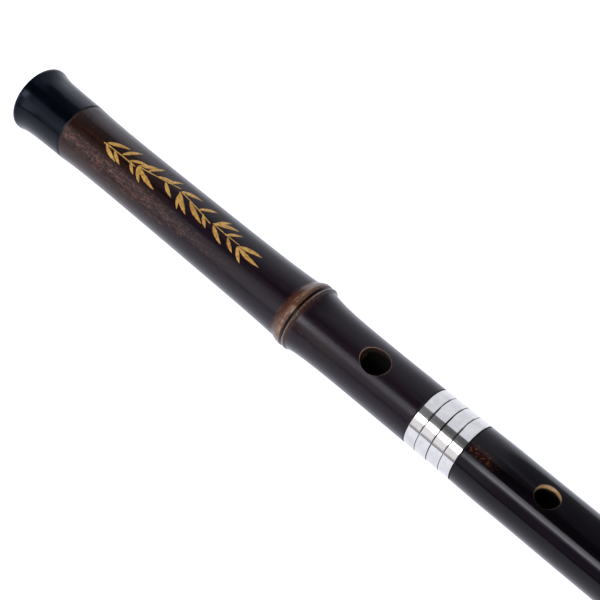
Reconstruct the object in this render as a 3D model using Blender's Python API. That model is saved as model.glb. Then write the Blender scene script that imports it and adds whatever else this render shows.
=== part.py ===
"""Two-section transverse bamboo flute (dizi), in metres, with +Z up.

The flute lies along X: the head end is at -X, the tail end at +X. Its finger
holes face +Z, the blowing hole is turned a little towards the player at -Y, and
the rims of the two end caps rest on the plane Z = 0. The origin is below the
middle of the flute.

Places along the flute are stations: distances from the head end. Every piece
is turned about the flute's own axis, and its object's origin lies on that axis.
The body section slides out of the head section and turns in it, so its pieces
hang on two empties that stand on the joint.
"""
import math

import bmesh
import bpy
from mathutils import Matrix, Vector

# Overall size
OVERALL_LENGTH = 0.667
SIDES = 36
GAP = 0.0003

# Bamboo: the bore, the spigots under the caps, and (station, radius) points
# that the outer surface runs through, apart from its nodes
BORE_RADIUS = 0.0085
SPIGOT_RADIUS = 0.0115
BAMBOO_EDGE = 0.0003
PLAIN_STEP = 0.022
HEAD_RADII = (
    (0.0273, 0.01335),
    (0.0340, 0.01298),
    (0.0460, 0.01273),
    (0.0660, 0.01264),
    (0.0950, 0.01275),
    (0.1280, 0.01292),
    (0.1500, 0.01292),
    (0.1680, 0.01258),
    (0.1900, 0.01250),
    (0.2209, 0.01252),
)
BODY_RADII = (
    (0.2434, 0.01256),
    (0.2560, 0.01268),
    (0.2700, 0.01262),
    (0.3300, 0.01258),
    (0.4200, 0.01250),
    (0.4950, 0.01258),
    (0.5300, 0.01238),
    (0.5900, 0.01232),
    (0.6397, 0.01242),
)

# A bamboo node: a broad ridge, a notch and a sharper ridge, as (offset from the
# notch, rise) points, on a swelling that fades away on both sides. A node stands
# a little askew: its rings reach furthest towards the tail at NODE_TILT_TURN
HEAD_NODE_STATION = 0.1589
BODY_NODE_STATION = 0.5120
BODY_NODE_SCALE = 0.72
NODE_RIDGES = (
    (-0.0055, 0.00000),
    (-0.0044, 0.00034),
    (-0.0035, 0.00072),
    (-0.0026, 0.00100),
    (-0.0018, 0.00112),
    (-0.0011, 0.00111),
    (-0.0005, 0.00096),
    (0.0000, 0.00030),
    (0.0004, 0.00056),
    (0.0008, 0.00080),
    (0.0013, 0.00096),
    (0.0018, 0.00096),
    (0.0021, 0.00078),
    (0.0024, 0.00028),
    (0.0029, 0.00000),
)
NODE_TILT = 0.0008
NODE_TILT_TURN = math.radians(-23.0)
NODE_TILT_REACH = 0.021
NODE_TILT_FADE = 0.013
SWELLING_BEFORE = 0.00080
SWELLING_BEFORE_LENGTH = 0.0095
SWELLING_AFTER = 0.00130
SWELLING_AFTER_LENGTH = 0.0080
SWELLING_STEPS = (0.003, 0.007, 0.012, 0.019, 0.028)

# End caps
CAP_LENGTH = 0.0270
CAP_RIM_RADIUS = 0.0150
CAP_LIP = 0.0005
CAP_LAND = 0.0008
CAP_FLARE_LENGTH = 0.0038
CAP_FLARE_POINTS = 9
CAP_FLARE_CROWDING = 1.6
CAP_NECK_TAPER = 0.00033
CAP_NECK_EDGE = 0.0004
CAP_NECK_DROP = 0.0002
CAP_END_WALL = 0.0040
CAP_MOUTH_CHAMFER = 0.0006
HEAD_CAP_NECK_RADIUS = 0.0134
TAIL_CAP_NECK_RADIUS = 0.0126

# Slip joint: a socket in the head section, a tenon on the body section, and a
# grooved collar on each section's end
JOINT_STATION = 0.2320
COLLAR_LENGTH = 0.0108
COLLAR_RADIUS = 0.0126
COLLAR_INNER_RADIUS = 0.0117
COLLAR_FLANGE = 0.0008
COLLAR_EDGE = 0.0002
GROOVE_SETBACK = 0.0056
GROOVE_HALF_WIDTH = 0.0004
GROOVE_DEPTH = 0.0004
GROOVE_POINTS = (-1.0, -0.55, -0.2, 0.0, 0.2, 0.55, 1.0)
TONGUE_RADIUS = 0.0114
SOCKET_RADIUS = 0.0094
SOCKET_WALL = 0.0006
SOCKET_DEPTH = 0.0252
TENON_RADIUS = 0.0091
TENON_REACH = 0.0249
TENON_ROOT = 0.0260
TUBE_END_CHAMFER = 0.0002

# Stopper
STOPPER_FACE_STATION = 0.1855
STOPPER_LENGTH = 0.0180
STOPPER_RADIUS = 0.0082
STOPPER_CHAMFER = 0.0008

# Holes as (station, angle about +X from +Z, length along the flute, width)
HEAD_TURN = math.radians(7.7)
BLOWING_HOLE = (0.1959, HEAD_TURN, 0.0126, 0.0108)
MEMBRANE_HOLE = (0.2769, 0.0, 0.0099, 0.0093)
FINGER_HOLE_STATIONS = (0.3540, 0.3770, 0.4020, 0.4340, 0.4590, 0.4880)
FINGER_HOLE_LENGTHS = (0.0096, 0.0098, 0.0094, 0.0098, 0.0098, 0.0088)
FINGER_HOLE_ROUNDNESS = 0.90
BASE_TONE_STATION = 0.5380
BASE_TONE_SPREAD = math.radians(27.0)
TASSEL_HOLE_STATION = 0.5730
TASSEL_HOLE_SPREAD = math.radians(25.0)
END_HOLE_LENGTH = 0.0070
END_HOLE_WIDTH = 0.0066
HOLE_SIDES = 20
HOLE_EDGE = 0.0003
HOLE_UNDERCUT = 1.07
CUTTER_TOP = 0.0180
CUTTER_FOOT = 0.0045

SHARP_ANGLE = math.radians(30.0)
ROUND_CORNER = 1.0 - math.sqrt(0.5)
AXIS_HEIGHT = CAP_RIM_RADIUS * math.cos(math.pi / SIDES)


def clear_scene():
    for obj in list(bpy.data.objects):
        bpy.data.objects.remove(obj, do_unlink=True)


def make_material(name, colour, roughness, metallic=0.0, coat=0.0):
    material = bpy.data.materials.new(name)
    material.use_nodes = True
    shader = material.node_tree.nodes["Principled BSDF"]
    shader.inputs["Base Color"].default_value = (*colour, 1.0)
    shader.inputs["Roughness"].default_value = roughness
    shader.inputs["Metallic"].default_value = metallic
    shader.inputs["Coat Weight"].default_value = coat
    material.diffuse_color = (*colour, 1.0)
    return material


def make_carrier(name, station, parent=None):
    """An empty on the flute's axis, for the pieces of one section."""
    carrier = bpy.data.objects.new(name, None)
    bpy.context.scene.collection.objects.link(carrier)
    carrier["station"] = station
    if parent is None:
        carrier.location = (station - OVERALL_LENGTH / 2, 0.0, AXIS_HEIGHT)
    else:
        carrier.parent = parent
        carrier.location = (station - parent["station"], 0.0, 0.0)
    return carrier


def add_object(name, builder, carrier, origin, material=None):
    """Make an object whose mesh is measured from the origin, a station on the axis."""
    mesh = bpy.data.meshes.new(name)
    builder.to_mesh(mesh)
    builder.free()
    if material is not None:
        mesh.materials.append(material)
    obj = bpy.data.objects.new(name, mesh)
    bpy.context.scene.collection.objects.link(obj)
    obj.parent = carrier
    obj.location = (origin - carrier["station"], 0.0, 0.0)
    return obj


def turned_piece(name, outline, carrier, material):
    """Turn an outline of (station, radius) points about the flute's axis.

    A closed outline clear of the axis gives a tube, and one that starts and ends
    on the axis gives a plug. Starting half a side round puts a flat side at the
    bottom, so that the end caps' rims rest on a flat.
    """
    origin = outline[0][0]
    half_side = math.pi / SIDES
    outward = Vector((0.0, math.sin(half_side), math.cos(half_side)))
    builder = bmesh.new()
    points = []
    for station, radius in outline:
        points.append(builder.verts.new(Vector((station - origin, 0.0, 0.0)) + radius * outward))
    edges = [builder.edges.new(pair) for pair in zip(points, points[1:])]
    if outline[0][1] > 0.0:
        edges.append(builder.edges.new((points[-1], points[0])))
    bmesh.ops.spin(builder, geom=points + edges, cent=(0.0, 0.0, 0.0), axis=(1.0, 0.0, 0.0),
                   angle=2 * math.pi, steps=SIDES, use_merge=True)
    bmesh.ops.remove_doubles(builder, verts=builder.verts, dist=1e-6)
    bmesh.ops.recalc_face_normals(builder, faces=builder.faces)
    obj = add_object(name, builder, carrier, origin, material)
    obj.data.shade_smooth()
    obj.data.set_sharp_from_angle(angle=SHARP_ANGLE)
    return obj


def curve_value(points, place):
    """Value at a place on the smooth curve through (place, value) points."""
    if place <= points[0][0]:
        return points[0][1]
    if place >= points[-1][0]:
        return points[-1][1]
    index = max(i for i, point in enumerate(points[:-1]) if point[0] <= place)
    before = points[max(index - 1, 0)]
    start = points[index]
    end = points[index + 1]
    after = points[min(index + 2, len(points) - 1)]
    span = end[0] - start[0]
    start_slope = span * (end[1] - before[1]) / (end[0] - before[0])
    end_slope = span * (after[1] - start[1]) / (after[0] - start[0])
    t = (place - start[0]) / span
    return ((2 * t**3 - 3 * t**2 + 1) * start[1] + (t**3 - 2 * t**2 + t) * start_slope
            + (3 * t**2 - 2 * t**3) * end[1] + (t**3 - t**2) * end_slope)


def node_rise(offset):
    """How far a bamboo node stands out, at an offset along the flute from its notch."""
    first = NODE_RIDGES[0][0]
    last = NODE_RIDGES[-1][0]
    if offset < first:
        return SWELLING_BEFORE * math.exp((offset - first) / SWELLING_BEFORE_LENGTH)
    if offset > last:
        return SWELLING_AFTER * math.exp((last - offset) / SWELLING_AFTER_LENGTH)
    part = (offset - first) / (last - first)
    swelling = SWELLING_BEFORE + (SWELLING_AFTER - SWELLING_BEFORE) * part
    return swelling + curve_value(NODE_RIDGES, offset)


def evenly(start, end):
    """Stations from start up to, but not at, end."""
    count = max(1, round((end - start) / PLAIN_STEP))
    return [start + (end - start) * i / count for i in range(count)]


def bamboo_surface(radii, node_station, node_scale):
    """Outline of a bamboo section's outer surface, with its node and its two chamfered edges."""
    start = radii[0][0]
    end = radii[-1][0]
    near_node = [node_station + offset for offset, rise in NODE_RIDGES]
    near_node += [near_node[0] - step for step in SWELLING_STEPS]
    near_node += [node_station + NODE_RIDGES[-1][0] + step for step in SWELLING_STEPS]
    near_node.sort()
    last = near_node.pop()
    stations = evenly(start + BAMBOO_EDGE, near_node[0]) + near_node + evenly(last, end - BAMBOO_EDGE)
    stations.append(end - BAMBOO_EDGE)
    surface = [(s, curve_value(radii, s) + node_scale * node_rise(s - node_station)) for s in stations]
    first_edge = (start, surface[0][1] - BAMBOO_EDGE)
    last_edge = (end, surface[-1][1] - BAMBOO_EDGE)
    return [first_edge] + surface + [last_edge]


def tilt_node(tube, origin, node_station):
    """Lean a tube's outer rings about its node, less and less away from it."""
    for vertex in tube.data.vertices:
        distance = abs(vertex.co.x + origin - node_station)
        if distance < NODE_TILT_REACH and math.hypot(vertex.co.y, vertex.co.z) > SPIGOT_RADIUS:
            fade = min(1.0, (NODE_TILT_REACH - distance) / NODE_TILT_FADE)
            angle = math.atan2(-vertex.co.y, vertex.co.z)
            vertex.co.x += NODE_TILT * fade * math.cos(angle - NODE_TILT_TURN)


def surface_radius(surface, station):
    """Radius of a faceted surface's outline at a station."""
    for (s0, r0), (s1, r1) in zip(surface, surface[1:]):
        if s0 <= station <= s1:
            return r0 + (r1 - r0) * (station - s0) / (s1 - s0)
    raise ValueError("station is off the surface")


def add_hole_cutter(builder, hole, origin, outer_radius):
    """Add one hole's cutter: undercut inside, and chamfered along the curved edge.

    The chamfer starts HOLE_EDGE below the surface, and the cutter's cone goes on
    as far above it.
    """
    station, angle, length, width = hole
    spread = 2 * HOLE_EDGE
    turn = Matrix.Rotation(angle, 3, "X")
    foot_ring = []
    throat_ring = []
    edge_ring = []
    top_ring = []
    for i in range(HOLE_SIDES):
        a = 2 * math.pi * i / HOLE_SIDES
        along = math.cos(a)
        across = math.sin(a)
        x = station - origin + length / 2 * along
        y = width / 2 * across
        surface = math.sqrt(outer_radius**2 - y**2)
        wide_x = x + spread * along
        wide_y = y + spread * across
        foot_x = station - origin + HOLE_UNDERCUT * length / 2 * along
        foot_ring.append(Vector((foot_x, HOLE_UNDERCUT * y, CUTTER_FOOT)))
        throat_ring.append(Vector((x, y, surface - HOLE_EDGE)))
        edge_ring.append(Vector((wide_x, wide_y, surface + HOLE_EDGE)))
        top_ring.append(Vector((wide_x, wide_y, CUTTER_TOP)))
    rings = [[builder.verts.new(turn @ point) for point in ring]
             for ring in (foot_ring, throat_ring, edge_ring, top_ring)]
    for lower, upper in zip(rings, rings[1:]):
        for i in range(HOLE_SIDES):
            j = (i + 1) % HOLE_SIDES
            builder.faces.new((lower[i], lower[j], upper[j], upper[i]))
    builder.faces.new(list(reversed(rings[0])))
    builder.faces.new(rings[-1])


def cut_holes(tube, holes, surface, origin, carrier):
    """Cut all of a tube's holes with one cutter."""
    builder = bmesh.new()
    for hole in holes:
        add_hole_cutter(builder, hole, origin, surface_radius(surface, hole[0]))
    bmesh.ops.recalc_face_normals(builder, faces=builder.faces)
    cutter = add_object(tube.name + "_hole_cutter", builder, carrier, origin)
    cutter.hide_render = True
    cutter.display_type = "WIRE"
    cut = tube.modifiers.new("holes", "BOOLEAN")
    cut.operation = "DIFFERENCE"
    cut.solver = "EXACT"
    cut.object = cutter


def build_head_tube(carrier, material):
    surface = bamboo_surface(HEAD_RADII, HEAD_NODE_STATION, 1.0)
    spigot_end = CAP_END_WALL + GAP
    shoulder = surface[0][0]
    socket_radius = SOCKET_RADIUS + SOCKET_WALL + GAP
    socket_floor = JOINT_STATION - SOCKET_DEPTH - GAP
    tongue_end = JOINT_STATION - COLLAR_FLANGE - GAP
    outline = [
        (spigot_end, BORE_RADIUS),
        (spigot_end, SPIGOT_RADIUS),
        (shoulder, SPIGOT_RADIUS),
    ]
    outline += surface
    outline += [
        (surface[-1][0], TONGUE_RADIUS),
        (tongue_end, TONGUE_RADIUS),
        (tongue_end, socket_radius),
        (socket_floor, socket_radius),
        (socket_floor, BORE_RADIUS),
    ]
    tube = turned_piece("head_tube", outline, carrier, material)
    tilt_node(tube, outline[0][0], HEAD_NODE_STATION)
    cut_holes(tube, [BLOWING_HOLE], surface, outline[0][0], carrier)


def build_body_tube(carrier, material):
    surface = bamboo_surface(BODY_RADII, BODY_NODE_STATION, BODY_NODE_SCALE)
    tongue_end = JOINT_STATION + COLLAR_FLANGE + 2 * GAP
    root_radius = TENON_RADIUS + GAP
    root_floor = JOINT_STATION + TENON_ROOT + GAP
    spigot_end = OVERALL_LENGTH - CAP_END_WALL - GAP
    outline = [
        (tongue_end, root_radius),
        (tongue_end, TONGUE_RADIUS),
        (surface[0][0], TONGUE_RADIUS),
    ]
    outline += surface
    outline += [
        (surface[-1][0], SPIGOT_RADIUS),
        (spigot_end, SPIGOT_RADIUS),
        (spigot_end, BORE_RADIUS),
        (root_floor, BORE_RADIUS),
        (root_floor, root_radius),
    ]
    tube = turned_piece("body_tube", outline, carrier, material)
    tilt_node(tube, outline[0][0], BODY_NODE_STATION)
    holes = [MEMBRANE_HOLE]
    for station, length in zip(FINGER_HOLE_STATIONS, FINGER_HOLE_LENGTHS):
        holes.append((station, 0.0, length, FINGER_HOLE_ROUNDNESS * length))
    for side in (-1, 1):
        holes.append((BASE_TONE_STATION, math.pi + side * BASE_TONE_SPREAD,
                      END_HOLE_LENGTH, END_HOLE_WIDTH))
        holes.append((TASSEL_HOLE_STATION, side * TASSEL_HOLE_SPREAD,
                      END_HOLE_LENGTH, END_HOLE_WIDTH))
    cut_holes(tube, holes, surface, outline[0][0], carrier)


def build_cap(name, end_station, inward, neck_radius, carrier, material):
    """A flared cap. inward is the direction along the flute from its end face to its neck."""
    flare = CAP_RIM_RADIUS - neck_radius - CAP_NECK_TAPER
    sleeve_radius = SPIGOT_RADIUS + GAP
    outline = [
        (CAP_MOUTH_CHAMFER, BORE_RADIUS),
        (0.0, BORE_RADIUS + CAP_MOUTH_CHAMFER),
        (0.0, CAP_RIM_RADIUS - CAP_LIP),
        (ROUND_CORNER * CAP_LIP, CAP_RIM_RADIUS - ROUND_CORNER * CAP_LIP),
        (CAP_LIP, CAP_RIM_RADIUS),
    ]
    for i in range(CAP_FLARE_POINTS + 1):
        share = (i / CAP_FLARE_POINTS) ** CAP_FLARE_CROWDING
        from_land = (CAP_LENGTH - CAP_NECK_EDGE - CAP_LIP - CAP_LAND) * share
        radius = neck_radius + CAP_NECK_TAPER * (1.0 - share)
        radius += flare * math.exp(-from_land / CAP_FLARE_LENGTH)
        outline.append((CAP_LIP + CAP_LAND + from_land, radius))
    outline += [
        (CAP_LENGTH, neck_radius - CAP_NECK_DROP),
        (CAP_LENGTH, sleeve_radius),
        (CAP_END_WALL, sleeve_radius),
        (CAP_END_WALL, BORE_RADIUS),
    ]
    outline = [(end_station + inward * depth, radius) for depth, radius in outline]
    turned_piece(name, outline, carrier, material)


def build_collar(name, joint_face, inward, hole_radius, carrier, material):
    """A grooved ring with a flange over the bamboo's end. inward leads away from the joint.

    The groove's two sides are quarter circles, stretched to its width and depth,
    that meet in a sharp line at its bottom.
    """
    outline = [
        (0.0, hole_radius),
        (0.0, COLLAR_RADIUS - COLLAR_EDGE),
        (COLLAR_EDGE, COLLAR_RADIUS),
    ]
    for part in GROOVE_POINTS:
        depth = GROOVE_DEPTH * (1.0 - math.sqrt(1.0 - (1.0 - abs(part)) ** 2))
        outline.append((GROOVE_SETBACK + part * GROOVE_HALF_WIDTH, COLLAR_RADIUS - depth))
    outline += [
        (COLLAR_LENGTH - COLLAR_EDGE, COLLAR_RADIUS),
        (COLLAR_LENGTH, COLLAR_RADIUS - COLLAR_EDGE),
        (COLLAR_LENGTH, COLLAR_INNER_RADIUS),
        (COLLAR_FLANGE, COLLAR_INNER_RADIUS),
        (COLLAR_FLANGE, hole_radius),
    ]
    outline = [(joint_face + inward * depth, radius) for depth, radius in outline]
    turned_piece(name, outline, carrier, material)


def build_plain_tube(name, start, end, inner_radius, outer_radius, carrier, material):
    outline = [
        (start, inner_radius),
        (start, outer_radius - TUBE_END_CHAMFER),
        (start + TUBE_END_CHAMFER, outer_radius),
        (end - TUBE_END_CHAMFER, outer_radius),
        (end, outer_radius - TUBE_END_CHAMFER),
        (end, inner_radius),
    ]
    turned_piece(name, outline, carrier, material)


def build_stopper(carrier, material):
    back = STOPPER_FACE_STATION - STOPPER_LENGTH
    outline = [
        (back, 0.0),
        (back, STOPPER_RADIUS - STOPPER_CHAMFER),
        (back + STOPPER_CHAMFER, STOPPER_RADIUS),
        (STOPPER_FACE_STATION - STOPPER_CHAMFER, STOPPER_RADIUS),
        (STOPPER_FACE_STATION, STOPPER_RADIUS - STOPPER_CHAMFER),
        (STOPPER_FACE_STATION, 0.0),
    ]
    turned_piece("stopper_cork", outline, carrier, material)


def build_flute():
    clear_scene()
    bamboo = make_material("lacquered_bamboo", (0.030, 0.016, 0.013), 0.25, coat=0.5)
    cap_black = make_material("black_cap", (0.012, 0.013, 0.018), 0.28)
    nickel = make_material("polished_nickel", (0.86, 0.86, 0.88), 0.12, metallic=1.0)
    brass = make_material("brass", (0.78, 0.60, 0.30), 0.30, metallic=1.0)
    cork = make_material("cork", (0.52, 0.34, 0.18), 0.85)

    head = make_carrier("head_section", 0.0)
    slide = make_carrier("tuning_slide_axis", JOINT_STATION, head)
    turn = make_carrier("section_turn_axis", JOINT_STATION, slide)

    build_cap("head_cap", 0.0, 1, HEAD_CAP_NECK_RADIUS, head, cap_black)
    build_head_tube(head, bamboo)
    build_stopper(head, cork)
    build_collar("head_collar", JOINT_STATION, -1, SOCKET_RADIUS + SOCKET_WALL + GAP, head, nickel)
    build_plain_tube("socket_liner", JOINT_STATION - SOCKET_DEPTH, JOINT_STATION,
                     SOCKET_RADIUS, SOCKET_RADIUS + SOCKET_WALL, head, brass)

    build_plain_tube("tenon_tube", JOINT_STATION - TENON_REACH, JOINT_STATION + TENON_ROOT,
                     BORE_RADIUS, TENON_RADIUS, slide, brass)

    build_collar("body_collar", JOINT_STATION + GAP, 1, TENON_RADIUS + GAP, turn, nickel)
    build_body_tube(turn, bamboo)
    build_cap("tail_cap", OVERALL_LENGTH, -1, TAIL_CAP_NECK_RADIUS, turn, cap_black)


build_flute()
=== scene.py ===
"""Looks of the two-section bamboo flute, in metres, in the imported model's frame.

The flute lies along X with its head end at -X. Places along it are stations:
distances from the head end. Every piece but the painted spray is turned again
about the flute's axis with many more sides than the model's, at the same sizes,
and rides on the body of the node that it stands for.
"""
import math

import bmesh
import bpy
from mathutils import Matrix, Vector, noise


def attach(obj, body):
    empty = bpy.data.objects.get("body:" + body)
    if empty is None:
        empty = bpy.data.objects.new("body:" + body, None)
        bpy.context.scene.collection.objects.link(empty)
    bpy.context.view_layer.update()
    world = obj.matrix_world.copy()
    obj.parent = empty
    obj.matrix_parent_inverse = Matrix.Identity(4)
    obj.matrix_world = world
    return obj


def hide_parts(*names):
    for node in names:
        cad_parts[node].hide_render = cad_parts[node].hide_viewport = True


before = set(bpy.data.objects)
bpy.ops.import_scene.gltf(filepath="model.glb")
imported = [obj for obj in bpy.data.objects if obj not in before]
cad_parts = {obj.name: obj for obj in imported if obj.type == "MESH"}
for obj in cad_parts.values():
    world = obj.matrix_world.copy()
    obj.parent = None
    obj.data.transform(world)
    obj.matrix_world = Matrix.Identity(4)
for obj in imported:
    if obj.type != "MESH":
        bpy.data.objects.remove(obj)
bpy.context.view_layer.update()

# Sizes that repeat the model's
OVERALL_LENGTH = 0.667
AXIS_HEIGHT = 0.0149429
GAP = 0.0003
BORE_RADIUS = 0.0085
SPIGOT_RADIUS = 0.0115
BAMBOO_EDGE = 0.0003
HEAD_RADII = (
    (0.0273, 0.01335),
    (0.0340, 0.01298),
    (0.0460, 0.01273),
    (0.0660, 0.01264),
    (0.0950, 0.01275),
    (0.1280, 0.01292),
    (0.1500, 0.01292),
    (0.1680, 0.01258),
    (0.1900, 0.01250),
    (0.2209, 0.01252),
)
BODY_RADII = (
    (0.2434, 0.01256),
    (0.2560, 0.01268),
    (0.2700, 0.01262),
    (0.3300, 0.01258),
    (0.4200, 0.01250),
    (0.4950, 0.01258),
    (0.5300, 0.01238),
    (0.5900, 0.01232),
    (0.6397, 0.01242),
)
HEAD_NODE_STATION = 0.1589
BODY_NODE_STATION = 0.5120
BODY_NODE_SCALE = 0.72
NODE_RIDGES = (
    (-0.0055, 0.00000),
    (-0.0044, 0.00034),
    (-0.0035, 0.00072),
    (-0.0026, 0.00100),
    (-0.0018, 0.00112),
    (-0.0011, 0.00111),
    (-0.0005, 0.00096),
    (0.0000, 0.00030),
    (0.0004, 0.00056),
    (0.0008, 0.00080),
    (0.0013, 0.00096),
    (0.0018, 0.00096),
    (0.0021, 0.00078),
    (0.0024, 0.00028),
    (0.0029, 0.00000),
)
NODE_TILT = 0.0008
NODE_TILT_TURN = math.radians(-23.0)
NODE_TILT_REACH = 0.021
NODE_TILT_FADE = 0.013
SWELLING_BEFORE = 0.00080
SWELLING_BEFORE_LENGTH = 0.0095
SWELLING_AFTER = 0.00130
SWELLING_AFTER_LENGTH = 0.0080
CAP_LENGTH = 0.0270
CAP_RIM_RADIUS = 0.0150
CAP_LIP = 0.0005
CAP_LAND = 0.0008
CAP_FLARE_LENGTH = 0.0038
CAP_NECK_TAPER = 0.00033
CAP_NECK_EDGE = 0.0004
CAP_NECK_DROP = 0.0002
CAP_END_WALL = 0.0040
CAP_MOUTH_CHAMFER = 0.0006
HEAD_CAP_NECK_RADIUS = 0.0134
TAIL_CAP_NECK_RADIUS = 0.0126
JOINT_STATION = 0.2320
COLLAR_LENGTH = 0.0108
COLLAR_RADIUS = 0.0126
COLLAR_INNER_RADIUS = 0.0117
COLLAR_FLANGE = 0.0008
COLLAR_EDGE = 0.0002
GROOVE_SETBACK = 0.0056
GROOVE_HALF_WIDTH = 0.0004
GROOVE_DEPTH = 0.0004
TONGUE_RADIUS = 0.0114
SOCKET_RADIUS = 0.0094
SOCKET_WALL = 0.0006
SOCKET_DEPTH = 0.0252
SLEEVE_EDGE = 0.0002
TENON_RADIUS = 0.0091
TENON_REACH = 0.0249
TENON_ROOT = 0.0260
STOPPER_FACE_STATION = 0.1855
STOPPER_LENGTH = 0.0180
STOPPER_RADIUS = 0.0082
STOPPER_CHAMFER = 0.0008
HEAD_TURN = math.radians(7.7)
BLOWING_HOLE = (0.1959, HEAD_TURN, 0.0126, 0.0108)
MEMBRANE_HOLE = (0.2769, 0.0, 0.0099, 0.0093)
FINGER_HOLE_STATIONS = (0.3540, 0.3770, 0.4020, 0.4340, 0.4590, 0.4880)
FINGER_HOLE_LENGTHS = (0.0096, 0.0098, 0.0094, 0.0098, 0.0098, 0.0088)
FINGER_HOLE_ROUNDNESS = 0.90
BASE_TONE_STATION = 0.5380
BASE_TONE_SPREAD = math.radians(27.0)
TASSEL_HOLE_STATION = 0.5730
TASSEL_HOLE_SPREAD = math.radians(25.0)
END_HOLE_LENGTH = 0.0070
END_HOLE_WIDTH = 0.0066
HOLE_EDGE = 0.0003
HOLE_UNDERCUT = 1.07

# Fineness of the turned surfaces
SIDES = 160
HEAD_STEP = 0.0016
BODY_STEP = 0.0028
NODE_STEP = 0.0002
NODE_REACH = 0.0085
CAP_STEPS = 60
CAP_NECK_EDGE_SHARE = 0.4
CAP_NECK_DROP_SHARE = 0.3
EDGE_STEPS = 4
GROOVE_STEPS = 10
LAND_INSET = 0.00006
SHARP_ANGLE = math.radians(30.0)
SURFACE_TOLERANCE = 0.000006
POINT_TOLERANCE = 0.000001

# Unevenness of the bamboo: nodes that stand out more on one side, and an oval, wavy
# surface that turns round towards a section's ends
NODE_LEAN = 0.23
NODE_LEAN_TURN = math.radians(-63.0)
OVALITY = 0.00004
OVAL_TWIST = 9.0
WAVINESS = 0.00005
WAVES_ALONG = 30.0
WAVES_AROUND = 0.9
EVEN_END = 0.012

# Cutters of the holes: the edge turns outwards up to EDGE_TURN and then opens
# to the given multiples of its radius
HOLE_SIDES = 80
EDGE_TURN = math.radians(66.0)
EDGE_OPENING = 2.2
EDGE_OPENING_RISE = 0.55
CUTTER_TOP = 0.0180
CUTTER_FOOT = 0.0045

# Gilt spray of bamboo leaves: (station, place across in metres, direction in degrees,
# length, width) of each stroke; a direction of 0 leads towards the joint
SPRAY_TURN = math.radians(2.0)
SPRAY_STEMS = (
    (0.0455, 0.0026, -4.0, 0.0190, 0.00062),
    (0.0650, 0.0012, -9.0, 0.0215, 0.00056),
    (0.0868, -0.0022, 6.0, 0.0205, 0.00050),
    (0.1078, 0.0000, 3.0, 0.0150, 0.00042),
)
SPRAY_LEAVES = (
    (0.0470, 0.0020, -33.0, 0.0105, 0.0019),
    (0.0475, 0.0028, 28.0, 0.0090, 0.0017),
    (0.0560, 0.0018, -58.0, 0.0085, 0.0018),
    (0.0655, 0.0012, 24.0, 0.0130, 0.0021),
    (0.0650, 0.0010, 52.0, 0.0078, 0.0017),
    (0.0652, 0.0008, -38.0, 0.0098, 0.0020),
    (0.0700, 0.0002, -64.0, 0.0070, 0.0016),
    (0.0865, -0.0018, 41.0, 0.0115, 0.0021),
    (0.0870, -0.0024, -26.0, 0.0095, 0.0018),
    (0.0872, -0.0018, 66.0, 0.0080, 0.0017),
    (0.0930, -0.0012, 30.0, 0.0120, 0.0020),
    (0.1075, 0.0002, -36.0, 0.0110, 0.0020),
    (0.1080, 0.0004, 35.0, 0.0095, 0.0018),
    (0.1082, 0.0000, -62.0, 0.0072, 0.0016),
    (0.1225, 0.0008, -22.0, 0.0110, 0.0019),
    (0.1228, 0.0010, 14.0, 0.0125, 0.0018),
    (0.1222, 0.0010, 48.0, 0.0075, 0.0016),
    (0.0520, 0.0023, 36.0, 0.0074, 0.0015),
    (0.0605, 0.0016, -34.0, 0.0078, 0.0015),
    (0.0610, 0.0015, 44.0, 0.0064, 0.0014),
    (0.0745, -0.0004, -30.0, 0.0086, 0.0016),
    (0.0790, -0.0010, 36.0, 0.0082, 0.0016),
    (0.0800, -0.0012, -60.0, 0.0066, 0.0015),
    (0.0985, -0.0008, -46.0, 0.0078, 0.0016),
    (0.1015, -0.0005, 46.0, 0.0068, 0.0015),
    (0.1150, 0.0006, -48.0, 0.0070, 0.0015),
    (0.1165, 0.0007, 40.0, 0.0072, 0.0015),
)
STROKE_POINTS = 26
STROKE_ACROSS = 6
STROKE_LIFT = 0.00007
STROKE_CROWN = 0.75
STROKE_SINK = 0.00012
STROKE_WOBBLE = 0.18
WOBBLES_PER_METRE = 900
WOBBLE_LAYER = 3.0
STROKE_SHARP_ANGLE = math.radians(50.0)
STEM_BEND = 0.10
STEM_MIDDLE = 0.75
STEM_PRESS = 0.45
STEM_PRESS_POWER = 6
STEM_TIP_RISE = 14
LEAF_BEND = 0.30
LEAF_BELLY = 2.6
LEAF_BELLY_PEAK = 0.62
LEAF_TAPER = 1.25
LEAF_FULLNESS = 0.9
LEAF_STALK = 0.00004

# Places of the colours along the flute, in millimetres from its head end:
# (start, full, fade, end) of a band, or (start, end) of a change
RUBBED_LENGTH = (20.0, 26.0, 56.0, 140.0)
STAIN_CHANGE = (58.0, 100.0)
PAST_HEAD_NODE = (159.0, 161.5, 168.0, 196.0)
BLOWING_HOLE_WALL = (186.0, 188.0, 204.0, 206.0)
POLISH_CHANGE = (215.0, 245.0)
JOINT_ENDS = (218.0, 220.0, 244.0, 246.0)
JOINT_CHANGE = (222.0, 243.0)
BESIDE_JOINT = (243.0, 246.0, 250.0, 259.0)
BAMBOO_ENDS = ((26.0, 27.0, 28.0, 29.0), (638.0, 639.0, 640.0, 641.0))
CAP_NECKS = ((13.0, 17.0, 26.0, 27.0), (640.0, 641.0, 650.0, 654.0))
CAP_NECK_ENDS = ((26.85, 26.95, 27.1, 27.2), (639.8, 639.9, 640.05, 640.15))

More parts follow.
